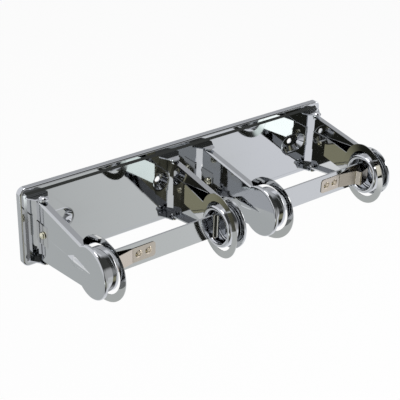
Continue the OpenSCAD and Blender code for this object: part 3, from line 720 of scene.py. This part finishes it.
@dataclass
class Studio:
    """The plain white studio: a bright room with a darker side where the camera stands.

    Args:
        lobes: The parts of the room that only mirrors show, each laid over those before it.
        room: What the rest of the room shows in a mirror, as sRGB hex.
        ambient: The strength of the room's light on dull surfaces.
        floor_depth_m: How far the floor lies under the holder's middle.
        floor_half_m: Half the length of the floor's sides.
        floor_colour: The floor's own colour, as sRGB hex.
        floor_glow: How much of the floor is plain white to the camera.
        lamps: The lamps.
        aim_at: What the lamps face.
    """

    lobes: tuple[Lobe, ...] = (
        Lobe("grey left side", (-0.66, 0.38, -0.65), 37, 28, "CDD0D0"),
        Lobe("grey floor beyond the left side", (-0.13, 0.77, -0.62), 12, 7, "BABEBE"),
        Lobe("bright panel at the left", (-0.70, 0.645, -0.30), 13, 7, "FFFFFF", 1.15),
        Lobe("duller floor to the left", (0.35, -0.76, -0.55), 18, 8, "E4E6E4"),
        Lobe("grey backdrop behind", (0.54, 0.69, 0.48), 26, 13, "C0C1C4"),
        Lobe("dark room above the camera", (0.25, -0.72, 0.65), 62, 38, "454644"),
        Lobe("dark room below the camera", (-0.37, -0.80, -0.47), 52, 22, "2E2E28"),
        Lobe("pale wall behind the camera", (0.24, -0.97, 0.07), 32, 14, "C6C6C6"),
        Lobe("olive curtain", (-0.27, -0.84, -0.47), 18, 6, "BCB89A"),
        Lobe("white card", (-0.42, -0.75, -0.52), 5.5, 3, "FFFFFF"),
        Lobe("window", (-0.83, -0.37, -0.41), 6, 3.5, "FAFFFC", 3.0),
        Lobe("window's second pane", (-0.76, -0.47, -0.44), 4.5, 2.5, "EEF8F4", 2.2),
    )
    room: str = "FAFBFF"
    ambient: float = 0.75
    floor_depth_m: float = 0.55
    floor_half_m: float = 6.0
    floor_colour: str = "F4F4F4"
    floor_glow: float = 0.85
    lamps: tuple[Lamp, ...] = (
        Lamp("softbox_above", (0.1, 0.1, 1.9), 0.8, 12.0),
        Lamp("softbox_right", (1.5, -0.7, 0.5), 0.9, 6.0),
    )
    aim_at: Place = (0.0, -0.06, 0.0)

    def world(self) -> None:
        """Builds the scene's world: white to the camera, the room to mirrors, soft light to the rest."""
        world = bpy.data.worlds.new("studio_room")
        world.use_nodes = True
        tree = world.node_tree
        tree.nodes.clear()
        way = add_node(tree, "ShaderNodeTexCoord").outputs["Generated"]
        seen = add_node(tree, "ShaderNodeRGB")
        seen.outputs["Color"].default_value = linear(self.room)
        colour = seen.outputs["Color"]
        for lobe in self.lobes:
            colour = self._lay_over(tree, way, colour, lobe)
        room = add_node(tree, "ShaderNodeBackground", {"Strength": 1.0}, {"Color": colour})
        white = add_node(tree, "ShaderNodeBackground", {"Color": WHITE, "Strength": 1.0})
        soft = add_node(tree, "ShaderNodeBackground", {"Color": WHITE, "Strength": self.ambient})
        ray = add_node(tree, "ShaderNodeLightPath").outputs
        mirror = add_node(tree, "ShaderNodeMath", {"operation": "MAXIMUM"},
                          {0: ray["Is Glossy Ray"], 1: ray["Is Transmission Ray"]})
        lit = add_node(tree, "ShaderNodeMixShader",
                       links={0: mirror.outputs["Value"], 1: soft.outputs[0], 2: room.outputs[0]})
        shown = add_node(tree, "ShaderNodeMixShader",
                         links={0: ray["Is Camera Ray"], 1: lit.outputs[0], 2: white.outputs[0]})
        add_node(tree, "ShaderNodeOutputWorld", links={"Surface": shown.outputs[0]})
        bpy.context.scene.world = world

    def _lay_over(
        self, tree: bpy.types.NodeTree, way: bpy.types.NodeSocket, colour: bpy.types.NodeSocket, lobe: Lobe
    ) -> bpy.types.NodeSocket:
        """Mixes a lobe's colour in round its direction.

        Args:
            tree: The world's tree.
            way: The direction that is looked at.
            colour: The room's colour so far.
            lobe: The lobe.

        Returns:
            The new colour.
        """
        middle = Vector(lobe.towards).normalized()
        near = add_node(tree, "ShaderNodeVectorMath", {"operation": "DOT_PRODUCT", 1: tuple(middle)}, {0: way})
        share = add_node(tree, "ShaderNodeMapRange",
                         {"interpolation_type": "SMOOTHSTEP", "From Min": math.cos(math.radians(lobe.ends_deg)),
                          "From Max": math.cos(math.radians(lobe.full_deg))},
                         {"Value": near.outputs["Value"]})
        glow = tuple(lobe.strength * part for part in linear(lobe.colour)[:3]) + (1.0,)
        mixed = add_node(tree, "ShaderNodeMix", {"data_type": "RGBA", "label": lobe.name, MIX_OVER: glow},
                         {"Factor": share.outputs["Result"], MIX_UNDER: colour})
        return mixed.outputs[MIX_RESULT]

    def floor(self) -> None:
        """Builds the pale floor, a stage that keeps the holder's shadow and leaves mirrors to the room."""
        mesh = bpy.data.meshes.new("pale_floor")
        half, z = self.floor_half_m, -self.floor_depth_m
        mesh.from_pydata([(-half, -half, z), (half, -half, z), (half, half, z), (-half, half, z)], [], [(0, 1, 2, 3)])
        obj = link_in("pale_floor", mesh)
        material = bpy.data.materials.new("pale_floor")
        material.use_nodes = True
        tree = material.node_tree
        tree.nodes.clear()
        lit = add_node(tree, "ShaderNodeBsdfDiffuse", {"Color": linear(self.floor_colour)})
        glow = add_node(tree, "ShaderNodeEmission", {"Color": WHITE, "Strength": 1.0})
        both = add_node(tree, "ShaderNodeMixShader", {0: self.floor_glow},
                        {1: lit.outputs[0], 2: glow.outputs[0]})
        ray = add_node(tree, "ShaderNodeLightPath").outputs
        shown = add_node(tree, "ShaderNodeMixShader",
                         links={0: ray["Is Camera Ray"], 1: lit.outputs[0], 2: both.outputs[0]})
        add_node(tree, "ShaderNodeOutputMaterial", links={"Surface": shown.outputs[0]})
        mesh.materials.append(material)
        obj.visible_glossy = False

    def build(self) -> None:
        """Builds the whole studio."""
        self.world()
        self.floor()
        for lamp in self.lamps:
            lamp.hang(self.aim_at)


@dataclass(frozen=True)
class Camera:
    """The camera at the photograph's angle.

    Args:
        at_mm: Where it stands.
        yaw_deg: Its turn about +Z from looking along +Y.
        pitch_deg: How far it looks down.
        roll_deg: Its turn about its own axis.
        focal_share: Its focal length as a share of the picture's width.
        sensor_mm: The width of its sensor.
        clip_m: The nearest and the farthest that it sees.
    """

    at_mm: Place = (-469.59, -624.44, 404.70)
    yaw_deg: float = -38.26
    pitch_deg: float = 28.74
    roll_deg: float = 1.83
    focal_share: float = 1015.4 / 400
    sensor_mm: float = 36.0
    clip_m: tuple[float, float] = (0.05, 50.0)

    def build(self) -> None:
        """Builds the camera and makes it the scene's."""
        yaw, pitch, roll = (math.radians(a) for a in (self.yaw_deg, self.pitch_deg, self.roll_deg))
        ahead = Vector((-math.sin(yaw) * math.cos(pitch), math.cos(yaw) * math.cos(pitch), -math.sin(pitch)))
        level_right = ahead.cross(Vector((0, 0, 1))).normalized()
        level_up = level_right.cross(ahead)
        right = math.cos(roll) * level_right + math.sin(roll) * level_up
        up = math.cos(roll) * level_up - math.sin(roll) * level_right
        data = bpy.data.cameras.new("camera")
        data.sensor_width = self.sensor_mm
        data.lens = self.focal_share * self.sensor_mm
        data.clip_start, data.clip_end = self.clip_m
        obj = link_in("camera", data)
        turn = Matrix((right, up, -ahead)).transposed().to_4x4()
        obj.matrix_world = Matrix.Translation(Vector(self.at_mm) * MM) @ turn
        bpy.context.scene.camera = obj


# Each head is on the side of its arm that faces away from the roll
RIVET_DOMES = (
    RivetDome("left_outer", -1, "left_outer_swing"),
    RivetDome("left_inner", 1, "wall_frame"),
    RivetDome("right_inner", -1, "wall_frame"),
    RivetDome("right_outer", 1, "right_outer_swing"),
)


def main(frame: dict) -> None:
    """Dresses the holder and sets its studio.
    """
    logging.basicConfig(level=logging.INFO, format="%(message)s")
    finishes = Finishes()
    finishes.dress(frame["nodes"])
    SmoothBends().shade(frame["nodes"])
    for fastener in (RivetRims("left"), RivetRims("right"), *RIVET_DOMES):
        piece = fastener.build(finishes)
        LOG.info("piece %s: %d faces", piece.name, len(piece.data.polygons))
    Studio().build()
    Camera().build()
    bpy.context.scene.view_settings.view_transform = "Standard"


if __name__ == "__main__":
    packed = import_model()
    main(packed)
